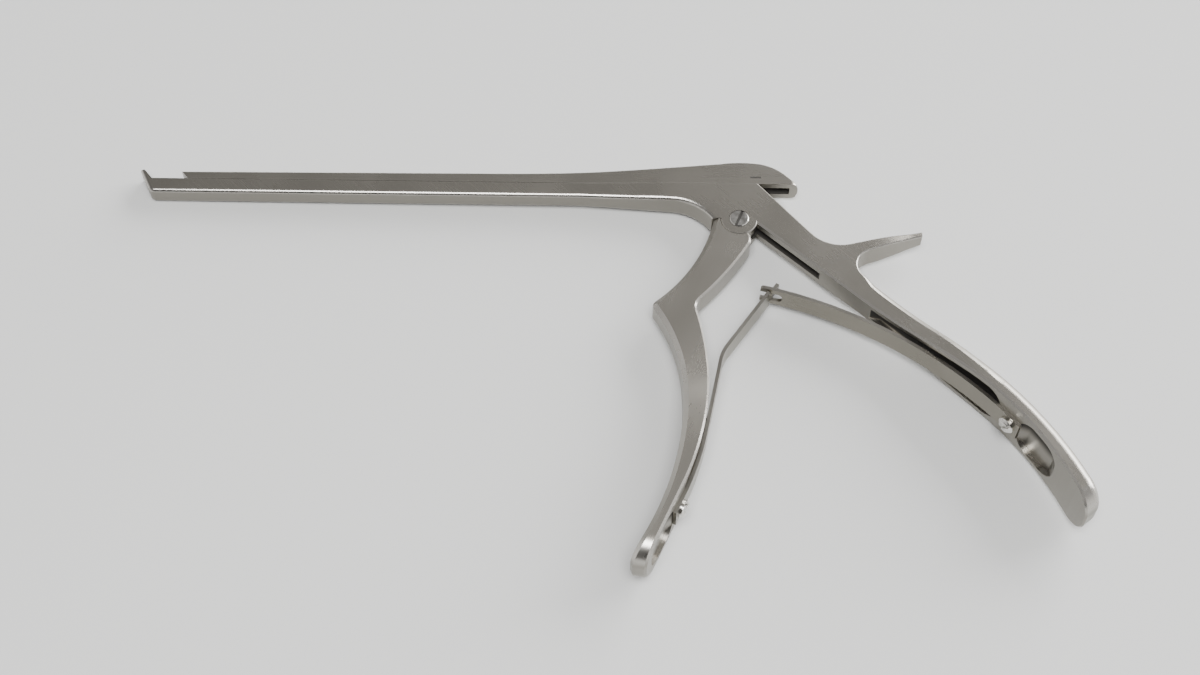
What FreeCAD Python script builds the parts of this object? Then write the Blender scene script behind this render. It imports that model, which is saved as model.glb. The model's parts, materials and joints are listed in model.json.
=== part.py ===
"""Bone rongeur (up-cutting bone punch), lying on its side.

A long shaft is split along its length: the lower half is one piece with the
foot, the body and the rear handle, and the upper half slides on it. The front
lever turns on a screw through the body. Its top is a fork that drives a pin in
the slider, so that squeezing the handles pushes the slider's cutting edge up
to the foot. Two leaf springs, one on each handle, hook into each other and
open the handles again.

All outlines are drawn in millimetres from the pivot: X runs along the shaft,
with the jaw at -X, Y points from the handles to the shaft, and Z is the
instrument's thickness, with Z = 0 at mid thickness. At the end everything is
moved so that the origin lies under the middle of the instrument, on the plane
of the handles' flat sides, on which it lies.
"""
import FreeCAD, Part
import os
from math import asin, atan, atan2, cos, degrees, hypot, radians, sin, tan

Vector = FreeCAD.Vector

# Shaft and jaw
PARTING_HEIGHT = 11.2
SHAFT_WIDTH = 5.3
BASE_HEIGHT = 4.1
SHAFT_EDGE_ROUND = 1.0
JAW_REACH = 155.6
JAW_OPENING = 9.6
JAW_CLOSED_GAP = 0.1
JAW_ANGLE = 40.0
FOOT_RISE = 2.6
FOOT_TOP_THICKNESS = 1.2
FOOT_LEAN = 26.0
FOOT_TOE_RADIUS = 1.6

# Body, ear, throat and spur
BODY_WIDTH = 7.4
EAR_RADIUS = 4.85
THROAT_START_X = -18.0
THROAT_DROP = 1.1
THROAT_END_X = -7.15
EAR_GAP = 0.1
SLOT_RUNOUT = 21.2
SLOT_RUNOUT_DEPTH = 2.2
SHAFT_STRAIGHT_END = -42.0
BACK_TOP_X = 5.2
BACK_ANGLE = -48.5
FLARE_START_X = -47.0
FLARE_END_X = -8.0
SPUR_TIP = (47.8, -2.5)
SPUR_TOP_ANGLE = 14.0
SPUR_UNDER_ANGLE = 20.4
SPUR_TIP_DEPTH = 1.5
SPUR_TIP_WIDTH = 4.4
SPUR_TAPER_START_X = 35.0
SPUR_FILLET = 10.0
NOTCH_RADIUS = 4.5
BODY_ROUND = 0.5
BACK_BEVEL = 0.4
EAR_BEVEL = 0.25

# Both grips
GRIP_WIDTH = 16.2
GRIP_FLARE_LEAD = 2.0
GRIP_FLARE_LENGTH = 42.0
GRIP_CORNER_RADIUS = 6.5
GRIP_OUTER_ROUND = 2.6
GRIP_INNER_BEVEL = 0.5
REAR_POCKET_DEPTH = 1.6
LEVER_POCKET_DEPTH = 1.0
POCKET_RAMP = 2.5
POCKET_LIP = 1.7
POCKET_CORNER_RADIUS = 5.0

# Rear handle
REAR_INNER_START = (4.7, -1.3)
REAR_INNER_ANGLE = -41.3
REAR_INNER_STRAIGHT = 68.8
REAR_BACK_BEND = (61.8, -45.5)
REAR_BACK_ANGLE = -43.6
REAR_FLARE_START = (31.0, -20.8)
REAR_END = (82.4, -84.0)
REAR_END_DEPTH = 5.6
REAR_END_PAST = 5.0
REAR_SCREW_ALONG = 14.5
REAR_UPPER_POCKET = (-31.0, 10.5)
REAR_LOWER_POCKET = (17.0, 31.0)

# Front lever
SHOULDER_WIDTH = 1.7
SHOULDER_GAP = 0.15
ARM_OUTER_CENTRE = (-49.6, 9.0)
ARM_OUTER_TURN = -39.0
ARM_INNER_CENTRE = (-72.1, 36.5)
KNEE = (-22.9, -26.3)
KNEE_RADIUS = 1.6
GRIP_WAIST_OUTER = (-15.0, -50.0)
GRIP_NECK_OUTER = (-17.6, -37.3)
GRIP_INNER_TOP = (-11.26, -27.94)
GRIP_INNER_TOP_ANGLE = 15.5
GRIP_STRAIGHT_ANGLE = -24.0
GRIP_INNER_RADIUS = 75.8
LEVER_OUTER_BEVEL = 1.2
LEVER_END = (-26.9, -98.6)
LEVER_END_DEPTH = 5.2
LEVER_END_PAST = 3.0
LEVER_FLARE_START = (-15.5, -28.3)
LEVER_SCREW_ALONG = 2.8
LEVER_UPPER_POCKET = (-23.8, -0.2)
LEVER_LOWER_POCKET = (5.6, 18.6)
ARM_HEEL = (2.5, -7.7)
ARM_HEEL_TOP_ANGLE = -61.0

# Fork, tongue and drive pin
PIN_HEIGHT = PARTING_HEIGHT + 3.3
PIN_RADIUS = 1.1
FORK_GAP = 0.12
FORK_WALL = 1.2
FORK_TIP = 1.2
TONGUE_WIDTH = 2.6
TONGUE_HUB_RADIUS = 4.4
TONGUE_ROOT_ANGLES = (190.0, 243.0)
TONGUE_ROOT_REACH = 7.7
SLOT_SIDE_GAP = 0.1
SLOT_END_GAP = 0.4

# Slider
TAIL_WIDTH = 6.4
SLIDER_TIP_HEIGHT = 2.3
SLIDER_TOP_BEND = (-62.0, PARTING_HEIGHT + 3.0)
SLIDER_TOP_RISE = (-33.0, PARTING_HEIGHT + 4.1)
SLIDER_CREST_START = (-5.0, PARTING_HEIGHT + 6.55)
SLIDER_CREST = (0.8, PARTING_HEIGHT + 7.05)
SLIDER_CREST_END = (5.9, PARTING_HEIGHT + 6.7)
TAIL_SHOULDER = (9.9, PARTING_HEIGHT + 5.2)
TAIL_SLOPE_START = (12.9, PARTING_HEIGHT + 2.9)
TAIL_SLOT_START_X = -3.4
TAIL_REACH = 15.9
TAIL_LIP = 2.2
TAIL_ROOF = 0.9
TAIL_CORNER_RADIUS = 1.8
CUP_DEPTH = 3.0
CUP_WALL = 0.8
SLIDE_GAP = 0.05
SLIDER_BEVEL = 0.35

# T lugs under the slider and their grooves in the shaft
RAIL_NECK_WIDTH = 1.6
RAIL_HEAD_WIDTH = 2.8
RAIL_NECK_HEIGHT = 1.0
RAIL_HEAD_HEIGHT = 0.9
RAIL_GAP = 0.08
LUG_LENGTH = 9.0
FRONT_LUG_SETBACK = 3.5
REAR_LUG_X = -58.0

# Leaf springs
SPRING_WIDTH = 6.5
SPRING_THICKNESS = 0.9
SPRING_FOOT = 3.3
SPRING_TIP_RADIUS = 1.0
FORK_SLOT_LENGTH = 6.0
HOOK_WIDTH = 2.6
HOOK_GAP = 0.3
HOOK_LENGTH = 3.2
REAR_SPRING_LEAVE = 3.0
REAR_SPRING_TIP = (5.3, -20.0)
FRONT_SPRING_LEAVE_ANGLE = -11.0
FRONT_SPRING_HEADING = 55.5
FRONT_SPRING_BEND_RADIUS = 12.0
HOOK_FROM_TIP = 2.8

# Screws
SPRING_SCREW_HEAD_RADIUS = 2.3
SPRING_SCREW_HEAD_HEIGHT = 1.4
SPRING_SCREW_BEVEL = 0.7
SPRING_SCREW_LIFT = 0.05
SPRING_SCREW_RADIUS = 1.3
SPRING_SCREW_DEPTH = 2.8
SPRING_HOLE_GAP = 0.1
TIGHT_FIT = 0.02
PIVOT_HEAD_RADIUS = 2.5
PIVOT_HEAD_HEIGHT = 1.2
PIVOT_HEAD_PROUD = 0.2
PIVOT_HEAD_BEVEL = 0.2
PIVOT_HEAD_GAP = 0.1
PIVOT_RADIUS = 1.7
PIVOT_GAP = 0.05
DRIVER_SLOT_WIDTH = 0.7
DRIVER_SLOT_DEPTH = 0.6
DRIVER_SLOT_ANGLE = 68.0

# Worked out from the sizes above
BODY_HALF = BODY_WIDTH / 2
GRIP_HALF = GRIP_WIDTH / 2
SHAFT_BOTTOM = PARTING_HEIGHT - BASE_HEIGHT
SLIDER_BOTTOM = PARTING_HEIGHT + SLIDE_GAP
TRAVEL = JAW_OPENING - JAW_CLOSED_GAP
HALF_SWING = degrees(atan(TRAVEL / 2 / PIN_HEIGHT))
PIN_X = TRAVEL / 2
SLOT_WIDTH = TONGUE_WIDTH + 2 * SLOT_SIDE_GAP
FORK_HALF = PIN_RADIUS + FORK_GAP + FORK_WALL
BEYOND = JAW_REACH / 2


def at(point, height=0.0):
    """A point of an outline as a vector."""
    return Vector(point[0], point[1], height)


def step(point, heading, length):
    """The point reached from another one at a heading in degrees."""
    turn = radians(heading)
    return (point[0] + length * cos(turn), point[1] + length * sin(turn))


def heading_of(start, end):
    """The heading in degrees from one point to another."""
    return degrees(atan2(end[1] - start[1], end[0] - start[0]))


def distance(start, end):
    return hypot(end[0] - start[0], end[1] - start[1])


def meet(start, heading, other, other_heading):
    """Where two straight lines cross, each given by a point and a heading."""
    ux, uy = step((0, 0), heading, 1)
    vx, vy = step((0, 0), other_heading, 1)
    length = ((other[0] - start[0]) * vy - (other[1] - start[1]) * vx) / (ux * vy - uy * vx)
    return step(start, heading, length)


def line(start, end):
    return Part.LineSegment(at(start), at(end)).toShape()


class Pen:
    """Draws an outline, edge by edge, and remembers its place and heading."""

    def __init__(self, place, heading=0.0):
        self.place = place
        self.heading = heading
        self.edges = []

    def line(self, end):
        self.edges.append(line(self.place, end))
        self.heading = heading_of(self.place, end)
        self.place = end
        return self

    def ahead(self, length):
        return self.line(step(self.place, self.heading, length))

    def bow(self, middle, end):
        """An arc through three points."""
        edge = Part.Arc(at(self.place), at(middle), at(end)).toShape()
        tangent = edge.tangentAt(edge.LastParameter)
        self.edges.append(edge)
        self.place = end
        self.heading = degrees(atan2(tangent.y, tangent.x))
        return self

    def arc(self, end, heading=None):
        """An arc to a point, which leaves in the present heading or ends in the one given."""
        chord = heading_of(self.place, end)
        half_turn = chord - self.heading if heading is None else heading - chord
        half_turn = (half_turn + 180) % 360 - 180
        sagitta = distance(self.place, end) / 2 * tan(radians(half_turn) / 2)
        middle = ((self.place[0] + end[0]) / 2, (self.place[1] + end[1]) / 2)
        self.bow(step(middle, chord - 90, sagitta), end)
        self.heading = chord + half_turn
        return self

    def swing(self, centre, turn):
        """An arc about a centre, through an angle in degrees."""
        radius = distance(centre, self.place)
        start = heading_of(centre, self.place)
        return self.bow(step(centre, start + turn / 2, radius), step(centre, start + turn, radius))

    def bend(self, corner, toward, radius):
        """A line to a corner, which an arc of this radius rounds towards the next point."""
        before = heading_of(corner, self.place)
        after = heading_of(corner, toward)
        half = abs((after - before + 180) % 360 - 180) / 2
        length = radius / tan(radians(half))
        self.line(step(corner, before, length))
        return self.arc(step(corner, after, length))


def plate(edges, low, high):
    """The closed outline that the edges, or the runs of them, make, as a plate."""
    if isinstance(edges, dict):
        edges = sum(edges.values(), [])
    face = Part.Face(Part.Wire(Part.sortEdges(edges)[0]))
    face.translate(Vector(0, 0, low))
    return face.extrude(Vector(0, 0, high - low))


def polygon(points, low, high):
    """A plate with straight sides."""
    return plate([line(a, b) for a, b in zip(points, points[1:] + points[:1])], low, high)


def disc(centre, radius, low, high):
    return Part.makeCylinder(radius, high - low, at(centre, low))


def rod(point, heading, radius, start, end):
    """A round bar along a heading through a point, at mid thickness."""
    turn = radians(heading)
    base = at(step(point, heading, start))
    return Part.makeCylinder(radius, end - start, base, Vector(cos(turn), sin(turn), 0))


def ease(start, end):
    """Two arcs from one level to another, level at both ends."""
    run = (end[0] - start[0]) / 2
    rise = (end[1] - start[1]) / 2
    radius = (run**2 + rise**2) / (2 * rise)
    half_turn = atan(rise / run)
    reach, lift = radius * sin(half_turn), radius * (1 - cos(half_turn))
    middle = (start[0] + run, start[1] + rise)
    pen = Pen(start)
    pen.bow((start[0] + reach, start[1] + lift), middle)
    pen.bow((end[0] - reach, end[1] - lift), end)
    return pen.edges


def width_solid(stations, origin=(0.0, 0.0), heading=0.0, end_radius=0.0):
    """What lies between two side faces whose half widths follow the stations.

    A station is a distance from origin, along a heading, and a half width.
    Between two different widths the faces curve gently. end_radius rounds the
    two corners at the last station.
    """
    upper = []
    for first, second in zip(stations, stations[1:]):
        level = abs(first[1] - second[1]) < 1e-6
        upper += [line(first, second)] if level else ease(first, second)
    lower = [edge.mirror(Vector(), Vector(0, 1, 0)) for edge in upper]
    start, end = stations[0], stations[-1]
    ends = [line(start, (start[0], -start[1])), line(end, (end[0], -end[1]))]
    solid = plate(upper + lower + ends, -BEYOND, BEYOND)
    if end_radius:
        corners = [edge for edge in solid.Edges
                   if abs(edge.CenterOfMass.x - end[0]) < 1e-6 and edge.Length > BEYOND]
        solid = solid.makeFillet(end_radius, corners)
    solid.rotate(Vector(), Vector(1, 0, 0), 90)
    solid.rotate(Vector(), Vector(0, 0, 1), heading)
    solid.translate(at(origin))
    return solid


def rounded(shape, runs, corners=(), kind="Part::Fillet"):
    """Rounds the edges on both sides of a plate that follow runs of its outline.

    Each run comes with a function that gives the radius at a point. Corners are
    points of the outline whose upright edge is rounded, each with its radius.
    """
    document = FreeCAD.newDocument("rounding", hidden=True)
    base = document.addObject("Part::Feature", "Base")
    base.Shape = shape
    finish = document.addObject(kind, "Finish")
    finish.Base = base
    picked = []
    for number, edge in enumerate(shape.Edges, 1):
        ends = [edge.valueAt(edge.FirstParameter), edge.valueAt(edge.LastParameter)]
        middle = edge.valueAt((edge.FirstParameter + edge.LastParameter) / 2)
        flat = [(point.x, point.y) for point in ends]
        if distance(*flat) < 1e-3:
            radii = [radius for corner, radius in corners if distance(corner, flat[0]) < 1e-3]
            picked += [(number, radius, radius) for radius in radii]
            continue
        for edges, radius_at in runs:
            track = Part.Compound(edges)
            if all(near(track, point) for point in (*ends, middle)):
                picked.append((number, radius_at(flat[0]), radius_at(flat[1])))
                break
    finish.Edges = picked
    document.recompute()
    result = finish.Shape.copy()
    FreeCAD.closeDocument(document.Name)
    return result


def bevelled(shape, runs):
    """Bevels the edges on both sides of a plate, run by run, each with its width."""
    return rounded(shape, [(edges, even(width)) for edges, width in runs], kind="Part::Chamfer")


def near(track, point):
    """Whether a point lies above or below the edges of a track."""
    return track.distToShape(Part.Vertex(point.x, point.y, 0))[0] < 1e-3


def even(radius):
    """The same radius everywhere."""
    return lambda point: radius


def growing(start, end, origin, heading, length):
    """A radius that grows from one value to another over a length along a heading."""
    def radius_at(point):
        along = distance(origin, point) * cos(radians(heading_of(origin, point) - heading))
        return start + (end - start) * min(max(along / length, 0), 1)
    return radius_at


# Outlines


def frame_outline():
    """The runs of the frame's outline, by name, from the jaw round to the back."""
    edge = (-JAW_REACH, PARTING_HEIGHT)
    crown = PARTING_HEIGHT + FOOT_RISE
    top_rear = (edge[0] - FOOT_RISE * tan(radians(JAW_ANGLE)), crown)
    top_front = (top_rear[0] - FOOT_TOP_THICKNESS, crown)
    toe = (top_front[0] + (crown - SHAFT_BOTTOM) * tan(radians(FOOT_LEAN)), SHAFT_BOTTOM)
    ledge = SHOULDER_GAP / 2
    ear_start = step((0, 0), 180 - degrees(asin(ledge / EAR_RADIUS)), EAR_RADIUS)
    ear_end = step((0, 0), heading_of((0, 0), REAR_INNER_START), EAR_RADIUS)
    handle_end = rear_end_points()

    under = Pen(top_front)
    under.bend(toe, (SHAFT_STRAIGHT_END, SHAFT_BOTTOM), FOOT_TOE_RADIUS)
    under.line((SHAFT_STRAIGHT_END, SHAFT_BOTTOM)).line((THROAT_START_X, SHAFT_BOTTOM - THROAT_DROP))
    under.arc((THROAT_END_X, ledge))
    ear = Pen(ear_start)
    ear.swing((0, 0), 360 + heading_of((0, 0), ear_end) - heading_of((0, 0), ear_start))
    inner = Pen(ear_end)
    inner.line(step(REAR_INNER_START, REAR_INNER_ANGLE, REAR_INNER_STRAIGHT)).arc(handle_end[0])

    back_top = (BACK_TOP_X, PARTING_HEIGHT)
    spur_root = meet(back_top, BACK_ANGLE, SPUR_TIP, SPUR_TOP_ANGLE)
    under_tip = (SPUR_TIP[0], SPUR_TIP[1] - SPUR_TIP_DEPTH)
    notch = meet(under_tip, SPUR_UNDER_ANGLE, REAR_BACK_BEND, REAR_BACK_ANGLE)
    back = Pen(back_top)
    back.bend(spur_root, SPUR_TIP, SPUR_FILLET).line(SPUR_TIP)
    handle_back = Pen(under_tip)
    handle_back.bend(notch, REAR_BACK_BEND, NOTCH_RADIUS).line(REAR_BACK_BEND).arc(handle_end[1])
    return {
        "foot": [line(back_top, edge), line(edge, top_rear), line(top_rear, top_front)],
        "under": under.edges,
        "ear": [line((THROAT_END_X, ledge), ear_start)] + ear.edges,
        "inner": inner.edges,
        "end": [line(*handle_end)],
        "handle back": handle_back.edges,
        "back": back.edges + [line(SPUR_TIP, under_tip)],
    }


def rear_end_points():
    """The corners of the rear handle's outline, a little past its end."""
    heading = heading_of(REAR_FLARE_START, REAR_END)
    middle = step(REAR_END, heading, REAR_END_PAST)
    return [step(middle, heading + side * 90, REAR_END_DEPTH / 2) for side in (-1, 1)]


def rear_seat():
    """The rear handle's inner arc, drawn downwards: where the rear spring lies."""
    pen = Pen(step(REAR_INNER_START, REAR_INNER_ANGLE, REAR_INNER_STRAIGHT), REAR_INNER_ANGLE)
    return pen.arc(rear_end_points()[0]).edges[0]


def grip_arc(angle):
    """The point of the lever's inner arc at an angle about the arc's centre."""
    centre = step(GRIP_INNER_TOP, GRIP_INNER_TOP_ANGLE + 180, GRIP_INNER_RADIUS)
    return step(centre, angle, GRIP_INNER_RADIUS)


def front_seat():
    """Where the lever's inner arc ends, and the heading of its straight lower part."""
    return grip_arc(GRIP_STRAIGHT_ANGLE), GRIP_STRAIGHT_ANGLE - 90


def lever_end_points():
    """The corners of the lever's outline, a little past its end: outer, inner."""
    start, heading = front_seat()
    cut = heading_of(LEVER_FLARE_START, LEVER_END)
    past = step(LEVER_END, cut, LEVER_END_PAST)
    inner = meet(start, heading, past, cut + 90)
    return step(inner, cut - 90, LEVER_END_DEPTH), inner


def crook_centre():
    """The centre of the arc that leads smoothly from the arm's inner bow into the grip's."""
    arm_radius = distance(ARM_INNER_CENTRE, ARM_HEEL)
    reach = distance(ARM_INNER_CENTRE, GRIP_INNER_TOP)
    turn = heading_of(ARM_INNER_CENTRE, GRIP_INNER_TOP) - GRIP_INNER_TOP_ANGLE
    across = reach * cos(radians(turn))
    radius = (reach**2 - arm_radius**2) / (2 * (arm_radius - across))
    return step(GRIP_INNER_TOP, GRIP_INNER_TOP_ANGLE, radius)


def lever_outline():
    """The runs of the lever's outline, by name: both ways down from its shoulder."""
    reach = EAR_RADIUS + EAR_GAP
    start_angle = 180 + degrees(asin(SHOULDER_GAP / 2 / reach))
    shoulder = step((0, 0), start_angle, reach)
    outer_end, inner_end = lever_end_points()

    outer = Pen((shoulder[0] - SHOULDER_WIDTH, shoulder[1]))
    outer.swing(ARM_OUTER_CENTRE, ARM_OUTER_TURN)
    neck = Part.Arc(at(KNEE), at(GRIP_NECK_OUTER), at(GRIP_WAIST_OUTER)).toShape()
    leaving = neck.tangentAt(neck.FirstParameter)
    outer.bend(KNEE, (KNEE[0] + leaving.x, KNEE[1] + leaving.y), KNEE_RADIUS)
    outer.arc(GRIP_WAIST_OUTER).arc(outer_end)

    hollow = Pen(shoulder)
    hollow.swing((0, 0), ARM_HEEL_TOP_ANGLE + 360 - start_angle)
    inner = Pen(hollow.place)
    heel_angle = heading_of(ARM_INNER_CENTRE, ARM_HEEL)
    inner.arc(ARM_HEEL, heel_angle - 90)
    inner.swing(ARM_INNER_CENTRE, heading_of(ARM_INNER_CENTRE, crook_centre()) - heel_angle)
    inner.arc(GRIP_INNER_TOP)
    middle = (GRIP_INNER_TOP_ANGLE + GRIP_STRAIGHT_ANGLE) / 2
    inner.bow(grip_arc(middle), grip_arc(GRIP_STRAIGHT_ANGLE)).line(inner_end)
    return {
        "outer": outer.edges,
        "top": [line(shoulder, (shoulder[0] - SHOULDER_WIDTH, shoulder[1]))] + hollow.edges,
        "inner": inner.edges,
        "end": [line(outer_end, inner_end)],
    }


# Frame and lever


def grip_widths(start, end, inset=0.0, end_radius=0.0):
    """The flare of a handle, from the body's width to the grip's, and its rounded end."""
    stations = [
        (GRIP_FLARE_LEAD, BODY_HALF - inset),
        (GRIP_FLARE_LEAD + GRIP_FLARE_LENGTH, GRIP_HALF - inset),
        (distance(start, end) - inset, GRIP_HALF - inset),
    ]
    return width_solid(stations, start, heading_of(start, end), end_radius)


def block(point, heading, start, end, half_depth, half_height):
    """A rectangular block along a heading through a point, centred in the thickness."""
    corners = [(start, -half_depth), (end, -half_depth), (end, half_depth), (start, half_depth)]
    corners = [step(step(point, heading, along), heading + 90, side) for along, side in corners]
    return polygon(corners, -half_height, half_height)


def pocket(face, start, end, inside, depth):
    """A hollow in a handle's inner face between two lengths along it, with rounded ends.

    face(length) gives a point of the inner face and its heading; inside is the
    turn from that heading into the handle.
    """
    def deep(length):
        point, heading = face(length)
        return step(point, heading + inside, depth)

    (first, _), (last, _) = face(start), face(end)
    centre, heading = face((start + end) / 2)
    high, low = (step(point, heading - inside, POCKET_RAMP) for point in (first, last))
    pen = Pen(first)
    pen.line(deep(start + POCKET_RAMP)).line(deep(end - POCKET_RAMP)).line(last).line(low)
    pen.line(high).line(first)
    cut = plate(pen.edges, -GRIP_HALF, GRIP_HALF)
    half = distance(first, last) / 2
    mask = block(centre, heading, -half, half, GRIP_WIDTH, GRIP_HALF - POCKET_LIP)
    corners = [edge for edge in mask.Edges if abs(edge.Length - 2 * GRIP_WIDTH) < 1e-6]
    return cut.common(mask.makeFillet(POCKET_CORNER_RADIUS, corners))


def rear_face(length):
    """A point of the rear handle's inner face, by its length past the straight part."""
    edge = rear_seat()
    straight_end = step(REAR_INNER_START, REAR_INNER_ANGLE, REAR_INNER_STRAIGHT)
    if length < 0:
        return step(straight_end, REAR_INNER_ANGLE, length), REAR_INNER_ANGLE
    where = edge.getParameterByLength(length)
    point, tangent = edge.valueAt(where), edge.tangentAt(where)
    return (point.x, point.y), degrees(atan2(tangent.y, tangent.x))


def front_face(length):
    """A point of the lever's inner face, by its length past the arc's end."""
    start, heading = front_seat()
    if length > 0:
        return step(start, heading, length), heading
    angle = GRIP_STRAIGHT_ANGLE - degrees(length / GRIP_INNER_RADIUS)
    return grip_arc(angle), angle - 90


def tongue_slot():
    """The slot through the body in which the lever's tongue swings."""
    reach = FORK_HALF + SLOT_END_GAP
    hub = TONGUE_HUB_RADIUS + SLOT_END_GAP
    top = (0, PARTING_HEIGHT + 1)
    left = meet(step((0, 0), 180 + HALF_SWING, reach), 90 + HALF_SWING, top, 0)
    right = meet(step((0, 0), -HALF_SWING, reach), 90 - HALF_SWING, top, 0)

    def beside_handle(length, depth):
        return step(step(REAR_INNER_START, REAR_INNER_ANGLE, length), REAR_INNER_ANGLE + 90, depth)

    outline = [
        left,
        (-hub, hub / 2),
        (-hub, -2 * hub),
        beside_handle(SLOT_RUNOUT, -hub),
        beside_handle(SLOT_RUNOUT, 0),
        beside_handle(SLOT_RUNOUT - SLOT_RUNOUT_DEPTH, SLOT_RUNOUT_DEPTH),
        beside_handle(hub / 2, SLOT_RUNOUT_DEPTH),
        (hub, hub / 2),
        right,
    ]
    return polygon(outline, -SLOT_WIDTH / 2, SLOT_WIDTH / 2)


def bar(start_x, end_x, low_y, high_y, width):
    """A straight bar along the shaft, centred in its thickness."""
    return Part.makeBox(end_x - start_x, high_y - low_y, width,
                        Vector(start_x, low_y, -width / 2))


def lug_starts():
    """Where the front and the rear lug begin when the jaw is open."""
    return [-JAW_REACH + JAW_OPENING + FRONT_LUG_SETBACK, REAR_LUG_X]


def lug(start):
    """One T lug under the slider."""
    neck_low = SLIDER_BOTTOM - RAIL_NECK_HEIGHT
    neck = bar(start, start + LUG_LENGTH, neck_low, SLIDER_BOTTOM, RAIL_NECK_WIDTH)
    head = bar(start, start + LUG_LENGTH, neck_low - RAIL_HEAD_HEIGHT, neck_low, RAIL_HEAD_WIDTH)
    return neck.fuse(head)


def groove(start):
    """The T groove for one lug, with the window behind it where the lug drops in."""
    front = start - TRAVEL - SLOT_END_GAP
    rear = start + LUG_LENGTH + SLOT_END_GAP
    window = rear + LUG_LENGTH + SLOT_END_GAP
    lip = SLIDER_BOTTOM - RAIL_NECK_HEIGHT + RAIL_GAP
    floor = SLIDER_BOTTOM - RAIL_NECK_HEIGHT - RAIL_HEAD_HEIGHT - RAIL_GAP
    top = PARTING_HEIGHT + 1
    neck = bar(front, window, floor, top, RAIL_NECK_WIDTH + 2 * RAIL_GAP)
    head = bar(front, window, floor, lip, RAIL_HEAD_WIDTH + 2 * RAIL_GAP)
    opening = bar(rear, window, floor, top, RAIL_HEAD_WIDTH + 2 * RAIL_GAP)
    return neck.fuse([head, opening])


def pocket_pair(face, pockets, inside, depth, widths):
    """The hollows above and below the spring's screw in one handle."""
    return [pocket(face, *ends, inside, depth).common(widths) for ends in pockets]


def frame_blank():
    """The frame before its slot, grooves, holes and pockets, with its edges rounded."""
    body = width_solid([
        (-JAW_REACH - 10, SHAFT_WIDTH / 2),
        (FLARE_START_X, SHAFT_WIDTH / 2),
        (FLARE_END_X, BODY_HALF),
        (BEYOND, BODY_HALF),
    ])
    spur_start, spur_end = SPUR_TAPER_START_X, SPUR_TIP[0] + 2
    taper = width_solid([
        (0, BODY_HALF + 1),
        (spur_start, BODY_HALF),
        (spur_end, SPUR_TIP_WIDTH / 2),
    ])
    spur_low, spur_high = SPUR_TIP[1] - 2 * NOTCH_RADIUS, SPUR_TIP[1] + 1
    spur_room = bar(spur_start, spur_end, spur_low, spur_high, BODY_WIDTH + 1)
    heading = heading_of(REAR_FLARE_START, REAR_END)
    grip = grip_widths(REAR_FLARE_START, REAR_END, end_radius=GRIP_CORNER_RADIUS)
    runs = frame_outline()
    plan = plate(runs, -GRIP_HALF - 1, GRIP_HALF + 1)
    blank = plan.common(body).fuse(plan.common(grip)).removeSplitter()
    blank = blank.cut(spur_room.cut(taper))
    back_radius = growing(BODY_ROUND, GRIP_OUTER_ROUND, REAR_FLARE_START, heading, GRIP_FLARE_LENGTH)
    back_corner = rear_end_points()[1]
    blank = rounded(blank, [
        (runs["under"], even(SHAFT_EDGE_ROUND)),
        (runs["handle back"], back_radius),
    ], [(back_corner, GRIP_OUTER_ROUND)])
    return bevelled(blank, [
        (runs["ear"][1:], EAR_BEVEL),
        (runs["inner"], GRIP_INNER_BEVEL),
        (runs["back"][:-1], BACK_BEVEL),
    ])


def make_frame():
    """Lower shaft with foot, body, ear, spur and rear handle, in one piece."""
    seat, heading = rear_face(REAR_SCREW_ALONG)
    cuts = [groove(start) for start in lug_starts()]
    widths = grip_widths(REAR_FLARE_START, REAR_END, inset=POCKET_LIP)
    pockets = (REAR_UPPER_POCKET, REAR_LOWER_POCKET)
    cuts += pocket_pair(rear_face, pockets, 90, REAR_POCKET_DEPTH, widths)
    head_seat = BODY_HALF + PIVOT_HEAD_PROUD - PIVOT_HEAD_HEIGHT
    cuts += [
        tongue_slot(),
        disc((0, 0), PIVOT_RADIUS + TIGHT_FIT, -BODY_HALF, BODY_HALF),
        disc((0, 0), PIVOT_HEAD_RADIUS + PIVOT_HEAD_GAP, head_seat, BODY_HALF),
        rod(seat, heading + 90, SPRING_SCREW_RADIUS + TIGHT_FIT, -1, SPRING_SCREW_DEPTH),
    ]
    return frame_blank().cut(cuts)


def make_tongue():
    """The middle of the lever's top: hub, fork, and the root that joins them to the arm."""
    half = TONGUE_WIDTH / 2
    fork_heading = 90 - HALF_SWING
    tip = hypot(PIN_X, PIN_HEIGHT) + FORK_TIP
    throat = PIN_RADIUS + FORK_GAP
    blade = block((0, 0), fork_heading, 0, tip, FORK_HALF, half)
    tips = [edge for edge in blade.Edges
            if edge.Length < TONGUE_WIDTH + 0.01 and abs(edge.CenterOfMass.z) < 0.01
            and edge.CenterOfMass.y > PIN_HEIGHT]
    blade = blade.makeFillet(FORK_WALL / 2, tips)
    opening = block((0, 0), fork_heading, PIN_HEIGHT - throat - FORK_GAP, tip + 1, throat, half + 1)
    reach = EAR_RADIUS + EAR_GAP + 1
    root_start, root_middle = TONGUE_ROOT_ANGLES
    root = polygon([
        (0, 0),
        step((0, 0), root_start, reach),
        step((0, 0), root_middle, TONGUE_ROOT_REACH),
        step((0, 0), ARM_HEEL_TOP_ANGLE - 3, reach),
    ], -half, half)
    hub = disc((0, 0), TONGUE_HUB_RADIUS, -half, half)
    return blade.cut(opening).fuse([hub, root])


def lever_blank():
    """The lever before its tongue, bore, hole and pockets, with its edges bevelled."""
    runs = lever_outline()
    plan = plate(runs, -GRIP_HALF - 1, GRIP_HALF + 1)
    arm = bar(-BEYOND, BEYOND, LEVER_FLARE_START[1] - 2 * GRIP_FLARE_LEAD, BEYOND, BODY_WIDTH)
    grip = grip_widths(LEVER_FLARE_START, LEVER_END, end_radius=GRIP_CORNER_RADIUS)
    blank = plan.common(arm).fuse(plan.common(grip)).removeSplitter()
    return bevelled(blank, [(runs["outer"], LEVER_OUTER_BEVEL), (runs["inner"], GRIP_INNER_BEVEL)])


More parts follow.
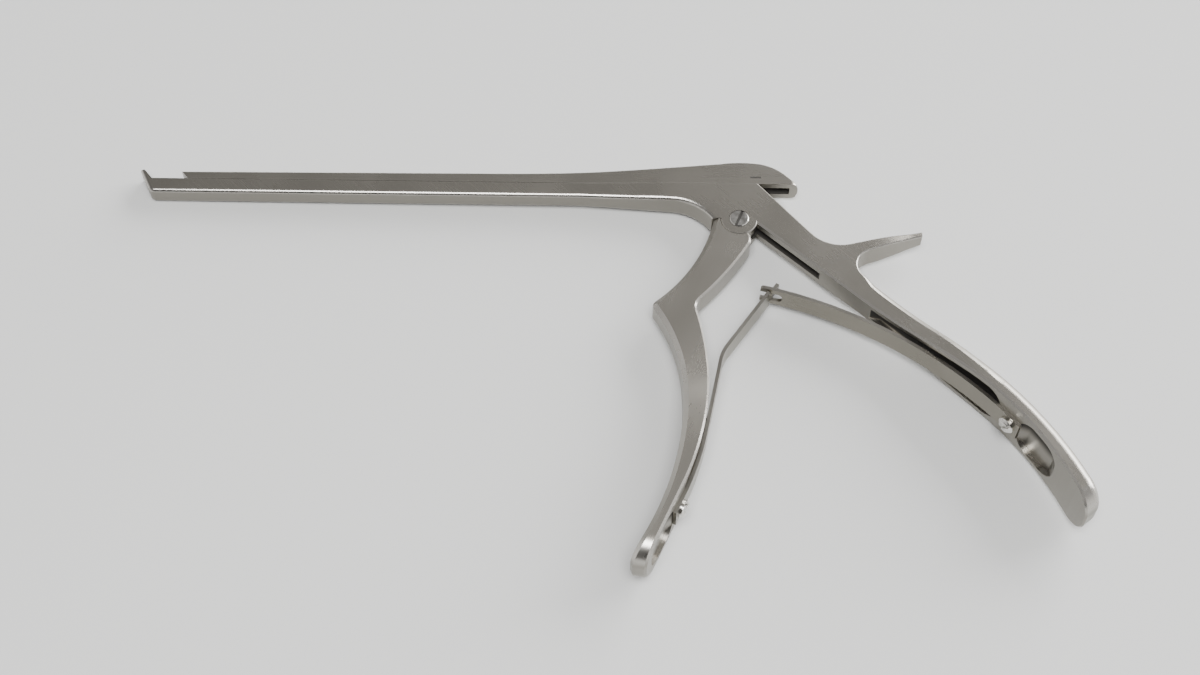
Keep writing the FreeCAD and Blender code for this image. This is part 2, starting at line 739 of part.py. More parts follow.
def make_lever():
    """Front lever: tongue with the fork, arm, and grip."""
    seat, heading = front_face(LEVER_SCREW_ALONG)
    widths = grip_widths(LEVER_FLARE_START, LEVER_END, inset=POCKET_LIP)
    pockets = (LEVER_UPPER_POCKET, LEVER_LOWER_POCKET)
    cuts = pocket_pair(front_face, pockets, -90, LEVER_POCKET_DEPTH, widths)
    cuts += [
        disc((0, 0), PIVOT_RADIUS + PIVOT_GAP, -BODY_HALF, BODY_HALF),
        rod(seat, heading - 90, SPRING_SCREW_RADIUS + TIGHT_FIT, -1, SPRING_SCREW_DEPTH),
    ]
    return lever_blank().fuse(make_tongue()).cut(cuts)


# Slider and pin


def slider_outline():
    """The slider from its cutting edge over the crest to the end of the tail."""
    edge = (-JAW_REACH + JAW_OPENING, SLIDER_BOTTOM)
    top = (edge[0] - SLIDER_TIP_HEIGHT * tan(radians(JAW_ANGLE)), edge[1] + SLIDER_TIP_HEIGHT)
    back = Pen(top)
    back.line(SLIDER_TOP_BEND).arc(SLIDER_TOP_RISE).arc(SLIDER_CREST_START)
    back.bow(SLIDER_CREST, SLIDER_CREST_END).bow(TAIL_SHOULDER, TAIL_SLOPE_START)
    tail = (TAIL_REACH, SLIDER_BOTTOM)
    return {
        "face": [line(edge, top)],
        "back": back.edges,
        "tail": [line(TAIL_SLOPE_START, tail)],
        "bottom": [line(tail, edge)],
    }


def tail_slot():
    """The slot in the slider's underside for the fork, which leaves an even roof."""
    top = [SLIDER_CREST_START, SLIDER_CREST, SLIDER_CREST_END, TAIL_SHOULDER, TAIL_SLOPE_START,
           (TAIL_REACH, SLIDER_BOTTOM)]
    roof = [(x - TAIL_ROOF / 2, y - TAIL_ROOF) for x, y in top]
    space = polygon(roof + [(TAIL_REACH, 0), (SLIDER_CREST_START[0], 0)],
                    -SLOT_WIDTH / 2, SLOT_WIDTH / 2)
    return space.common(bar(TAIL_SLOT_START_X, TAIL_REACH - TAIL_LIP, 0, BEYOND, SLOT_WIDTH))


def make_slider():
    """Upper shaft with the cutting cup, two T lugs, and the tail that holds the drive pin."""
    widths = width_solid([
        (-JAW_REACH, SHAFT_WIDTH / 2),
        (FLARE_START_X, SHAFT_WIDTH / 2),
        (FLARE_END_X, TAIL_WIDTH / 2),
        (TAIL_REACH, TAIL_WIDTH / 2),
    ], end_radius=TAIL_CORNER_RADIUS)
    runs = slider_outline()
    slider = plate(runs, -BODY_HALF, BODY_HALF).common(widths)
    slider = bevelled(slider, [(runs["back"] + runs["tail"], SLIDER_BEVEL)])
    cup_end = -JAW_REACH + JAW_OPENING + CUP_DEPTH
    cup = rod((cup_end, SLIDER_BOTTOM), 180, SLIDER_TIP_HEIGHT - CUP_WALL, 0, 2 * CUP_DEPTH)
    pin_hole = disc((PIN_X, PIN_HEIGHT), PIN_RADIUS + TIGHT_FIT, -BODY_HALF, BODY_HALF)
    slider = slider.cut([cup, tail_slot(), pin_hole])
    return slider.fuse([lug(start) for start in lug_starts()]).removeSplitter()


def make_drive_pin():
    return disc((PIN_X, PIN_HEIGHT), PIN_RADIUS, -TAIL_WIDTH / 2, TAIL_WIDTH / 2)


# Springs


def strip(stops, side):
    """A leaf of even thickness along a smooth path.

    The stops are the points of its back face, each with its heading. The
    thickness lies to the left of the path if side is 1, to the right if -1.
    """
    pens = []
    for offset in (0, SPRING_THICKNESS):
        places = [step(point, heading + side * 90, offset) for point, heading in stops]
        pen = Pen(places[0], stops[0][1])
        for place, (_, heading) in zip(places[1:], stops[1:]):
            straight = abs(heading - pen.heading) < 0.01
            pen = pen.line(place) if straight else pen.arc(place)
            pen.heading = heading
        pens.append((places[0], pen))
    (back_start, back), (front_start, front) = pens
    ends = [line(back_start, front_start), line(back.place, front.place)]
    return plate(back.edges + front.edges + ends, -SPRING_WIDTH / 2, SPRING_WIDTH / 2)


def rear_spring_stops():
    foot, foot_heading = rear_face(REAR_SCREW_ALONG + SPRING_FOOT)
    leave, leave_heading = rear_face(REAR_SPRING_LEAVE)
    up = leave_heading + 180
    tip_heading = 2 * heading_of(leave, REAR_SPRING_TIP) - up
    return [(foot, foot_heading + 180), (leave, up), (REAR_SPRING_TIP, tip_heading)]


def crossing():
    """Where the front spring's hook passes the middle of the rear spring."""
    tip, heading = rear_spring_stops()[-1]
    return step(step(tip, heading + 180, HOOK_FROM_TIP), heading + 90, SPRING_THICKNESS / 2)


def round_tip(leaf, point, heading):
    """Rounds the corners of a leaf's end, which lie near a point."""
    corners = [edge for edge in leaf.Edges
               if edge.Length < 1.01 * SPRING_THICKNESS
               and distance((edge.CenterOfMass.x, edge.CenterOfMass.y), point) < SPRING_THICKNESS]
    return leaf.makeFillet(SPRING_TIP_RADIUS, corners)


def make_rear_spring():
    """Leaf on the rear handle, with a forked end."""
    stops = rear_spring_stops()
    tip, heading = stops[-1]
    leaf = round_tip(strip(stops, 1), tip, heading)
    seat, seat_heading = rear_face(REAR_SCREW_ALONG)
    half_slot = HOOK_WIDTH / 2 + HOOK_GAP
    fork = block(tip, heading, half_slot - FORK_SLOT_LENGTH, 2, 2 * SPRING_THICKNESS, half_slot)
    fork_end = step(tip, heading, half_slot - FORK_SLOT_LENGTH)
    hole = rod(seat, seat_heading - 90, SPRING_SCREW_RADIUS + SPRING_HOLE_GAP, -1, 2)
    rounding = rod(fork_end, heading + 90, half_slot, -2 * SPRING_THICKNESS, 2 * SPRING_THICKNESS)
    return leaf.cut([fork, rounding, hole])


def make_front_spring():
    """Leaf on the front lever, with a narrow tongue that hooks through the other leaf."""
    foot, foot_heading = front_face(LEVER_SCREW_ALONG + SPRING_FOOT)
    arc_start, arc_heading = front_seat()
    leave = grip_arc(FRONT_SPRING_LEAVE_ANGLE)
    leave_heading = FRONT_SPRING_LEAVE_ANGLE + 90
    rise = FRONT_SPRING_HEADING
    back_crossing = step(crossing(), rise + 90, SPRING_THICKNESS / 2)
    corner = meet(leave, leave_heading, back_crossing, rise)
    length = FRONT_SPRING_BEND_RADIUS * tan(radians(leave_heading - rise) / 2)
    stops = [
        (foot, foot_heading + 180),
        (arc_start, arc_heading + 180),
        (leave, leave_heading),
        (step(corner, leave_heading, -length), leave_heading),
        (step(corner, rise, length), rise),
        (step(back_crossing, rise, HOOK_LENGTH), rise),
    ]
    leaf = strip(stops, -1)
    shoulder = -SPRING_THICKNESS - HOOK_GAP
    beside = block(crossing(), rise, shoulder, 2 * HOOK_LENGTH, 2 * SPRING_THICKNESS, SPRING_WIDTH)
    beside = beside.cut(block(crossing(), rise, shoulder, 2 * HOOK_LENGTH,
                              2 * SPRING_THICKNESS, HOOK_WIDTH / 2))
    seat, seat_heading = front_face(LEVER_SCREW_ALONG)
    hole = rod(seat, seat_heading + 90, SPRING_SCREW_RADIUS + SPRING_HOLE_GAP, -1, 2)
    return leaf.cut([beside, hole])


# Screws


def driver_slot(top):
    """The screwdriver slot across a head whose top is at this height."""
    return Part.makeBox(4 * PIVOT_HEAD_RADIUS, DRIVER_SLOT_WIDTH, 2 * DRIVER_SLOT_DEPTH,
                        Vector(-2 * PIVOT_HEAD_RADIUS, -DRIVER_SLOT_WIDTH / 2,
                               top - DRIVER_SLOT_DEPTH))


def make_pivot_screw():
    """Screw on which the lever turns, its head let into the body's upper side."""
    top = BODY_HALF + PIVOT_HEAD_PROUD
    head = disc((0, 0), PIVOT_HEAD_RADIUS, top - PIVOT_HEAD_HEIGHT, top)
    rim = [edge for edge in head.Edges if edge.CenterOfMass.z > top - 0.01]
    head = head.makeChamfer(PIVOT_HEAD_BEVEL, rim)
    screw = head.fuse(disc((0, 0), PIVOT_RADIUS, -BODY_HALF, BODY_HALF)).removeSplitter()
    screw = screw.cut(driver_slot(top))
    screw.rotate(Vector(), Vector(0, 0, 1), DRIVER_SLOT_ANGLE)
    return screw


def make_spring_screw(seat, heading):
    """Screw with a bevelled, slotted head that holds a spring's foot.

    Seat is the point of the handle's face, heading points away from the handle.
    """
    low = SPRING_THICKNESS + SPRING_SCREW_LIFT
    top = low + SPRING_SCREW_HEAD_HEIGHT
    head = disc((0, 0), SPRING_SCREW_HEAD_RADIUS, low, top)
    upper = [edge for edge in head.Edges if edge.CenterOfMass.z > top - 0.01]
    head = head.makeChamfer(SPRING_SCREW_BEVEL, upper)
    shank = disc((0, 0), SPRING_SCREW_RADIUS, -SPRING_SCREW_DEPTH, low)
    screw = head.fuse(shank).cut(driver_slot(top))
    outward = FreeCAD.Rotation(Vector(0, 0, 1), at(step((0, 0), heading, 1)))
    screw.Placement = FreeCAD.Placement(at(seat), outward)
    return screw


def make_all():
    """Every piece by its name, in pivot coordinates."""
    rear_seat_point, rear_heading = rear_face(REAR_SCREW_ALONG)
    front_seat_point, front_heading = front_face(LEVER_SCREW_ALONG)
    return {
        "frame": make_frame(),
        "slider": make_slider(),
        "drive_pin": make_drive_pin(),
        "front_lever": make_lever(),
        "pivot_screw": make_pivot_screw(),
        "rear_spring": make_rear_spring(),
        "rear_spring_screw": make_spring_screw(rear_seat_point, rear_heading - 90),
        "front_spring": make_front_spring(),
        "front_spring_screw": make_spring_screw(front_seat_point, front_heading + 90),
    }


if __name__ == "__main__":
    os.makedirs("parts", exist_ok=True)
    pieces = make_all()
    bounds = FreeCAD.BoundBox()
    for shape in pieces.values():
        bounds.add(shape.optimalBoundingBox())
    shift = Vector(-bounds.Center.x, -bounds.Center.y, GRIP_HALF)
    for name, shape in pieces.items():
        shape.translate(shift)
        shape.exportStep(f"parts/{name}.step")
        print(name, shape.isValid(), len(shape.Solids), round(shape.Volume, 1))
    print("pivot at", [round(value, 3) for value in shift])
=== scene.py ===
import json
from math import cos, radians, sin

import bmesh
import bpy
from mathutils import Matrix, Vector


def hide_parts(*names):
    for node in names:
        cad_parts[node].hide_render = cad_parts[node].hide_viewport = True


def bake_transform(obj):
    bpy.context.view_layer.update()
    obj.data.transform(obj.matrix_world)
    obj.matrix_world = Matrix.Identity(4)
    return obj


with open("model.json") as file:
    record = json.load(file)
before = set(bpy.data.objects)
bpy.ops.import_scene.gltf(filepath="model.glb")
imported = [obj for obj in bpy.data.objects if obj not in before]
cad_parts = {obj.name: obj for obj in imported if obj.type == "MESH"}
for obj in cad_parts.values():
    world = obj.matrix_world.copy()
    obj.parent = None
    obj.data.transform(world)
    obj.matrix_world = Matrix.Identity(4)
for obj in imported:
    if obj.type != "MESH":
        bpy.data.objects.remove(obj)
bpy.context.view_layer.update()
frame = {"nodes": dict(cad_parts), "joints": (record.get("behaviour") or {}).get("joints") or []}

MM = 0.001
MM_PER_METRE = 1000.0
PIVOT = Vector(frame["joints"][0]["pos_m"])

# The photograph's camera, measured from the pivot, and its lens on a 36 mm wide frame.
CAMERA_FROM_PIVOT = Vector((-32.04, -289.10, 441.18)) * MM
CAMERA_TILT = 30.0
CAMERA_TURN = 0.8725
LENS = 60.0
SENSOR_WIDTH = 36.0
NEAREST_VIEW = 0.01

# The instrument lies on both grips and the tip of its shaft, so the table leans a little.
REST_POINTS = [(21.6, -29.4, 0.0), (96.7, -6.9, 0.1), (-121.1, 54.2, 5.5)]
TABLE_HALF = 3.0
TABLE_COLOUR = (0.69, 0.693, 0.685)
TABLE_ROUGHNESS = 0.75
TABLE_MIDDLE = Vector((0.0, 0.0, 0.0))

# Each lamp's place, its width and height, and its power. All aim at the table's middle.
LAMPS = {
    "ceiling light": ((0.0, -0.45, 1.35), (0.75, 0.6), 24.0),
    "window": ((1.25, 1.05, 0.64), (1.7, 1.25), 62.0),
}

# The room's colour, its strength overhead, what the walls and the window's side add to
# that, and the share that the photographer takes away.
ROOM_COLOUR = (1.0, 0.99, 0.975)
OVERHEAD_GLOW = 0.30
WALL_GLOW = 0.85
SIDE_GLOW = 0.2
PHOTOGRAPHER_SHADE = 0.85

# Where each leaf spring leaves its handle and where the two cross, from the pivot in mm.
REAR_SPRING_FOOT = (58.6, -48.7)
FRONT_SPRING_FOOT = (-9.9, -62.7)
SPRING_CROSSING = (7.9, -21.1)
# The part of a leaf, from its foot, that lies along its handle and hardly bends.
STIFF_SHARE = 0.3
LEAF_CUTS = 30
SHARP_ANGLE = 25.0
WELD_DISTANCE = 1e-6
CUT_TOLERANCE = 1e-7

# Where the dark seam line, the mark and the painted shade lie, from the pivot in mm. A line
# is its start and heading, an arc its centre and radius. A band is where it begins and ends,
# and how soft both are. A fade is where it begins and ends.
SEAM_X = (-150.0, 4.6, 0.3)
SEAM_Y = (11.25 - 0.16, 11.25 + 0.16, 0.10)
SLOT_FADE = (1.7, 2.0)
# The slot in the slider's tail, and the mark beside it
TAIL_SLOT_X = (-3.4, 13.8, 0.1)
TAIL_SLOT_Y = (11.6, 17.2, 0.2)
TAIL_SLOT_FADE = (1.7, 1.9)
TAIL_MARK_X = (3.1, 6.1, 0.08)
TAIL_MARK_Y = (13.05, 13.65, 0.08)
TAIL_MARK_FADE = (3.0, 3.1)
# The hollows in the inner side of the rear handle, which is straight and then bends
HANDLE_LINE = ((4.7, -1.3), -41.3)
HANDLE_ARC = ((-2.4, -113.62), 89.07)
HANDLE_DEPTH = (0.12, 2.2, 0.1)
UPPER_HOLLOW_ALONG = (37.0, 68.8, 0.2)
UPPER_HOLLOW_X = (56.4, 64.8, 0.2)
UPPER_HOLLOW_FADE = (-3.0, -1.0)
LOWER_HOLLOW_X = (66.5, 77.5, 0.3)
LOWER_HOLLOW_FADE = (-1.0, 4.0)
# The hollows in the inner side of the lever, which bends and then is straight
LEVER_ARC = ((-84.3, -48.2), 75.8)
LEVER_LINE = ((-15.06, -79.03), -114.0)
LEVER_DEPTH = (0.12, 1.5, 0.08)
LEVER_UPPER_Y = (-78.0, -56.0, 0.4)
LEVER_LOWER_Y = (-96.5, -84.0, 0.3)
LEVER_LOWER_FADE = (-2.0, 4.0)
# The near rim of all the hollows
RIM_FADE = (6.2, 6.6)

# The pivot screw's top, from the pivot, and the floor of its slot
SCREW_HEAD_TOP = 3.9
DRIVER_SLOT_DEPTH = 0.6
SLOT_FLOOR_SOFT = 0.15

# How level a surface is where the flats, the rubbed edges and the upright sides begin
FLAT = (0.955, 0.992)
EDGE = (0.12, 0.50)
SPRING_EDGE = (0.5, 0.9)
UPRIGHT = (0.2, 0.4)
# How far a side looks up where it counts as the instrument's back
BACK = (0.05, 0.4)

# Metal colours
SATIN_DARK = (0.405, 0.383, 0.341)
SATIN_LIGHT = (0.500, 0.474, 0.425)
# The brushed sides' tone, painted darker than the flats as shade from the shaded table they
# reflect
SIDE = (0.270, 0.256, 0.227)
# Rubbed edges, painted brighter as a highlight
POLISHED_HIGHLIGHT = (0.470, 0.452, 0.420)
STAIN = (0.260, 0.235, 0.195)
# Near black: painted shade in slots, hollows and corners, and the seam line and the mark
SHADE_AND_MARK_DARK = (0.012, 0.010, 0.008)
SPRING_DARK = (0.200, 0.186, 0.155)
SPRING_LIGHT = (0.290, 0.272, 0.230)
SCREW_DARK = (0.480, 0.465, 0.435)
SCREW_LIGHT = (0.880, 0.865, 0.830)

# Roughness of the metals, what full painted shade and dark marks add to it, and its limits
SATIN_ROUGHNESS = 0.27
SIDE_ROUGHNESS = 0.34
SPRING_ROUGHNESS = 0.30
SCREW_ROUGHNESS = 0.12
SHADE_AND_MARK_ROUGHNESS = 0.4
ROUGHNESS_LIMITS = (0.08, 0.9)

# In metres: how far a crevice reaches, and the height of the relief
WIDE_CREVICE = 0.0016
NARROW_CREVICE = 0.0008
FINE_RELIEF = 0.00002
SCUFF_RELIEF = 0.0001
CREVICE_SAMPLES = 8

# The sockets of a Mix node that carry colours, and its factor
MIX_FACTOR, MIX_FIRST, MIX_SECOND, MIX_RESULT = 0, 6, 7, 2


# Shader tools


class Wire:
    """One shader socket, with which values can be worked out like numbers."""

    def __init__(self, make, socket):
        self.make = make
        self.socket = socket

    def __add__(self, other):
        return self.make.math("ADD", self, other)

    def __radd__(self, other):
        return self.make.math("ADD", other, self)

    def __sub__(self, other):
        return self.make.math("SUBTRACT", self, other)

    def __rsub__(self, other):
        return self.make.math("SUBTRACT", other, self)

    def __mul__(self, other):
        return self.make.math("MULTIPLY", self, other)

    def __neg__(self):
        return 0 - self

    def __abs__(self):
        return self.make.math("ABSOLUTE", self)

    def clamp(self, low=0.0, high=1.0):
        return self.make.math("MINIMUM", self.make.math("MAXIMUM", self, low), high)

    def ramp(self, start, end):
        """0 up to start, 1 from end on, and smooth in between."""
        settings = {"interpolation_type": "SMOOTHSTEP"}
        values = {"Value": self, "From Min": start, "From Max": end}
        return self.make.node("ShaderNodeMapRange", settings, values)

    def within(self, low, high, soft):
        """1 between two values, with a soft change on both sides."""
        return self.ramp(low - soft, low + soft) * (1 - self.ramp(high - soft, high + soft))

    def swing(self, amount):
        """A noise's swing about its middle, up to half the amount each way."""
        return (self - 0.5) * amount


class Nodes:
    """Adds shader nodes to a tree and joins them."""

    def __init__(self, tree):
        self.tree = tree

    def node(self, kind, settings=None, values=None, output=0):
        """Adds a node with its settings and inputs and gives one of its outputs."""
        node = self.tree.nodes.new(kind)
        for name, value in (settings or {}).items():
            setattr(node, name, value)
        for name, value in (values or {}).items():
            self.feed(node.inputs[name], value)
        return Wire(self, node.outputs[output])

    def feed(self, socket, value):
        """Joins a wire to a socket, or puts a colour or a plain value in it."""
        if isinstance(value, Wire):
            self.tree.links.new(value.socket, socket)
        elif isinstance(value, tuple) and socket.type == "RGBA":
            socket.default_value = (*value, 1.0)
        else:
            socket.default_value = value

    def math(self, operation, first, second=0.0):
        return self.node("ShaderNodeMath", {"operation": operation}, {0: first, 1: second})

    def axes(self, vector):
        """The three numbers of a vector."""
        return [
            self.node("ShaderNodeSeparateXYZ", values={0: vector}, output=axis) for axis in "XYZ"
        ]

    def blend(self, factor, first, second):
        """Mixes two colours."""
        values = {MIX_FACTOR: factor, MIX_FIRST: first, MIX_SECOND: second}
        return self.node("ShaderNodeMix", {"data_type": "RGBA"}, values, output=MIX_RESULT)


class Finish(Nodes):
    """A material under construction."""

    def __init__(self, name):
        self.material = bpy.data.materials.new(name)
        self.material.use_nodes = True
        super().__init__(self.material.node_tree)
        self.shader = self.tree.nodes["Principled BSDF"]
        self.place = self.node("ShaderNodeTexCoord", output="Object")

    def turned(self, centre, angle):
        """Object coordinates about a centre, turned so that X runs along an angle."""
        values = {0: self.place, 1: centre}
        moved = self.node("ShaderNodeVectorMath", {"operation": "SUBTRACT"}, values)
        values = {"Vector": moved, "Rotation": (0, 0, -radians(angle))}
        return self.node("ShaderNodeMapping", values=values)

    def noise(self, scale, stretch=(1, 1, 1), detail=3.0, rough=0.5, place=None):
        """Noise between 0 and 1. A small number in stretch draws it out along that axis."""
        values = {"Vector": place or self.place, "Scale": stretch}
        vector = self.node("ShaderNodeMapping", values=values)
        values = {"Vector": vector, "Scale": scale, "Detail": detail, "Roughness": rough}
        return self.node("ShaderNodeTexNoise", values=values, output="Fac")

    def plan(self):
        """The place from the pivot, in millimetres."""
        from_pivot = self.turned(tuple(PIVOT), 0)
        return [axis * MM_PER_METRE for axis in self.axes(from_pivot)]

    def normal(self):
        """Which way the surface looks."""
        return self.axes(self.node("ShaderNodeTexCoord", output="Normal"))

    def levelness(self):
        """1 on a flat side of the instrument, 0 on a surface that stands upright."""
        return abs(self.normal()[2])

    def facing_up(self):
        """1 on a surface that looks towards the shaft's side, -1 on one that looks away."""
        return self.normal()[1]

    def past_line(self, start, heading):
        """How far a place lies along a line and to the left of it."""
        x, y, _ = self.plan()
        along, up = cos(radians(heading)), sin(radians(heading))
        x, y = x - start[0], y - start[1]
        return x * along + y * up, y * along - x * up

    def past_arc(self, centre, radius):
        """How far a place lies outside an arc."""
        x, y, _ = self.plan()
        x, y = x - centre[0], y - centre[1]
        return self.math("SQRT", x * x + y * y) - radius

    def crevice(self, reach):
        """1 deep in slots and corners, where shade falls, and 0 in the open: a mask for painted
        shade.
        """
        settings = {"samples": CREVICE_SAMPLES}
        values = {"Distance": reach}
        return 1 - self.node("ShaderNodeAmbientOcclusion", settings, values, output="AO")

    def bump(self, height, distance, strength):
        """Gives the surface a relief."""
        values = {"Height": height, "Distance": distance, "Strength": strength}
        self.set("Normal", self.node("ShaderNodeBump", values=values))

    def set(self, name, value):
        """Sets one input of the finished surface."""
        self.feed(self.shader.inputs[name], value)


# Dark marks and painted shade: each of these gives 1 where a dark line, a mark or painted shade
# lies and 0 elsewhere


def frame_marks_and_shade(finish, flat, upright):
    """A dark line in the seam, and painted shade on the walls of the tongue's slot and in the
    hollows of the rear handle.
    """
    x, _, z = finish.plan()
    along, deep = finish.past_line(*HANDLE_LINE)
    bend = finish.past_arc(*HANDLE_ARC).within(*HANDLE_DEPTH)
    upper = deep.within(*HANDLE_DEPTH) * along.within(*UPPER_HOLLOW_ALONG)
    upper = (upper + bend * x.within(*UPPER_HOLLOW_X)) * z.ramp(*UPPER_HOLLOW_FADE)
    lower = bend * x.within(*LOWER_HOLLOW_X) * z.ramp(*LOWER_HOLLOW_FADE)
    # Painted shade on the upright walls of the hollows, fading out at the near rim
    hollows = (upper + lower) * (1 - z.ramp(*RIM_FADE))
    return (seam_line_and_slot_shade(finish, flat) + hollows * upright).clamp()


def slider_marks_and_shade(finish, flat, upright):
    """A dark line in the seam, painted shade in the tail's slot and the tongue's slot, and the
    mark on the tail.
    """
    x, y, z = finish.plan()
    mark = x.within(*TAIL_MARK_X) * y.within(*TAIL_MARK_Y) * z.ramp(*TAIL_MARK_FADE)
    # Painted shade under the roof of the tail's slot
    roof = x.within(*TAIL_SLOT_X) * (1 - abs(z).ramp(*TAIL_SLOT_FADE))
    roof = roof * y.within(*TAIL_SLOT_Y) * upright
    return (seam_line_and_slot_shade(finish, flat) + mark + roof).clamp()


def lever_shade(finish, flat, upright):
    """Painted shade in the hollows of the lever, on both sides of its spring's screw, and on the
    walls of the tongue's slot.
    """
    _, y, z = finish.plan()
    bend = (-finish.past_arc(*LEVER_ARC)).within(*LEVER_DEPTH)
    straight = (-finish.past_line(*LEVER_LINE)[1]).within(*LEVER_DEPTH)
    upper = bend * y.within(*LEVER_UPPER_Y)
    lower = straight * y.within(*LEVER_LOWER_Y) * z.ramp(*LEVER_LOWER_FADE)
    hollows = (upper + lower) * (1 - z.ramp(*RIM_FADE))
    return (hollows * upright + slot_shade(finish, flat)).clamp()


def seam_line_and_slot_shade(finish, flat):
    """A dark line along the shaft's seam, here and there, and painted shade on the walls of the
    tongue's slot.
    """
    x, y, _ = finish.plan()
    patches = finish.noise(scale=38.0, stretch=(1, 0.2, 0.2), detail=2.0).ramp(0.38, 0.55)
    seam = y.within(*SEAM_Y) * x.within(*SEAM_X)
    return seam * (patches * 0.35 + 0.50) * flat + slot_shade(finish, flat)


def slot_shade(finish, flat):
    """Painted shade on the walls of the slots near the middle of the thickness."""
    z = finish.plan()[2]
    return flat * (1 - abs(z).ramp(*SLOT_FADE))


# Metals


def ground_steel(name, angle, marks_and_shade, shade=1.0):
    """Stainless steel: satin flats with faint ground lines along an angle, brushed sides painted
    darker as shade, bright rubbed edges between them painted as a highlight, and painted shade
    in slots, hollows and corners."""
    finish = Finish(name)
    along = finish.turned(tuple(PIVOT), angle)
    lines = finish.noise(scale=1500.0, stretch=(0.03, 1.0, 1.0), detail=1.0, place=along)
    cloud = finish.noise(scale=60.0, detail=2.0, rough=0.4)
    spots = finish.noise(scale=420.0, rough=0.55)
    swell = finish.noise(scale=110.0, detail=1.0)
    brush = finish.noise(scale=900.0, stretch=(1.0, 1.0, 0.05), detail=1.0)
    level = finish.levelness()
    flat = level.ramp(*FLAT)
    back = finish.facing_up().ramp(*BACK)
    # The rubbed edges take a brighter colour as a painted highlight. On the back, which faces
    # the window, they keep the darker side colour as painted shade.
    edge = level.ramp(*EDGE) * (1 - back * 0.9)
    stain = spots.ramp(0.60, 0.78) * cloud.ramp(0.42, 0.62)
    dark = marks_and_shade(finish, flat, 1 - level.ramp(*UPRIGHT))
    # Painted shade in crevices from ambient occlusion, added to the dark marks and the painted
    # shade in slots and hollows
    shade_and_marks = (finish.crevice(WIDE_CREVICE).ramp(0.45, 0.95) * 0.8 + dark).clamp()

    dark_satin = tuple(shade * part for part in SATIN_DARK)
    light_satin = tuple(shade * part for part in SATIN_LIGHT)
    satin = finish.blend(cloud * 0.9 + lines * 0.1, dark_satin, light_satin)
    metal = finish.blend(edge, SIDE, POLISHED_HIGHLIGHT)
    metal = finish.blend(flat, metal, satin)
    metal = finish.blend(stain * flat * 0.25, metal, STAIN)
    finish.set("Base Color", finish.blend(shade_and_marks * 0.96, metal, SHADE_AND_MARK_DARK))
    # Only where the dark marks and the painted shade are full is the metal made matt. Thin dark
    # colour on bare metal would look lighter, not darker.
    finish.set("Metallic", 1 - dark.ramp(0.8, 1.0) * 0.9)

    satin_rough = SATIN_ROUGHNESS + cloud.swing(0.07) + lines.swing(0.03)
    side_rough = SIDE_ROUGHNESS - edge * 0.07 + back * 0.22
    side_rough = side_rough + cloud.swing(0.12) + brush.swing(0.08)
    rough = side_rough + (satin_rough - side_rough) * flat + shade_and_marks * SHADE_AND_MARK_ROUGHNESS
    finish.set("Roughness", rough.clamp(*ROUGHNESS_LIMITS))
    relief = lines * flat * 0.04 + swell * (1 - flat) * 3.0 + brush * (1 - edge) * 0.3
    finish.bump(relief, FINE_RELIEF, strength=0.3)
    return finish.material


def spring_steel():
    """Drawn spring strip, darker and warmer than the rest."""
    finish = Finish("spring steel")
    drawn = finish.noise(scale=1100.0, stretch=(0.08, 0.08, 1.0), detail=1.0)
    cloud = finish.noise(scale=90.0)
    spots = finish.noise(scale=600.0, detail=2.0)
    edge = finish.levelness().ramp(*SPRING_EDGE)
    # Painted shade in the corners
    shade_and_marks = finish.crevice(NARROW_CREVICE).ramp(0.55, 0.95)
    metal = finish.blend(cloud * 0.8 + drawn * 0.2, SPRING_DARK, SPRING_LIGHT)
    # Painted highlight on the spring's edges
    metal = finish.blend(edge * 0.5, metal, POLISHED_HIGHLIGHT)
    metal = finish.blend(spots.ramp(0.62, 0.80) * 0.25, metal, STAIN)
    finish.set("Base Color", finish.blend(shade_and_marks * 0.6, metal, SHADE_AND_MARK_DARK))
    finish.set("Metallic", 1.0)
    rough = SPRING_ROUGHNESS + cloud.swing(0.14) + drawn.swing(0.06)
    finish.set("Roughness", rough.clamp(*ROUGHNESS_LIMITS))
    finish.bump(drawn, FINE_RELIEF, strength=0.25)
    return finish.material


def screw_steel(name, slot_floor=None):
    """Bright screws, scuffed by the driver, with painted shade in the corners and in the slot.
    """
    finish = Finish(name)
    scuffs = finish.noise(scale=800.0, stretch=(1.0, 0.35, 1.0), detail=2.0, rough=0.6)
    cloud = finish.noise(scale=520.0, detail=2.0)
    # Painted shade in the corners and, where a slot floor is given, in the driver slot below it
    shade_and_marks = finish.crevice(NARROW_CREVICE).ramp(0.40, 0.90) * 0.85
    if slot_floor:
        above_floor = finish.plan()[2].ramp(slot_floor, slot_floor + SLOT_FLOOR_SOFT)
        shade_and_marks = (shade_and_marks + 1 - above_floor).clamp()
    metal = finish.blend(cloud.ramp(0.38, 0.62) * 0.6 + scuffs * 0.4, SCREW_DARK, SCREW_LIGHT)
    finish.set("Base Color", finish.blend(shade_and_marks * 0.95, metal, SHADE_AND_MARK_DARK))
    finish.set("Metallic", 1 - shade_and_marks * 0.7)
    rough = SCREW_ROUGHNESS + cloud.swing(0.20) + scuffs.ramp(0.5, 0.7) * 0.10
    rough = rough + shade_and_marks * SHADE_AND_MARK_ROUGHNESS
    finish.set("Roughness", rough.clamp(*ROUGHNESS_LIMITS))
    finish.bump(cloud * 2.0 + scuffs, SCUFF_RELIEF, strength=1.0)
    return finish.material


def wear(piece, material):
    """Puts one material on all of a piece."""
    if not piece.data.materials:
        piece.data.materials.append(material)
    for place in piece.material_slots:
        place.material = material


# Camera, table and light


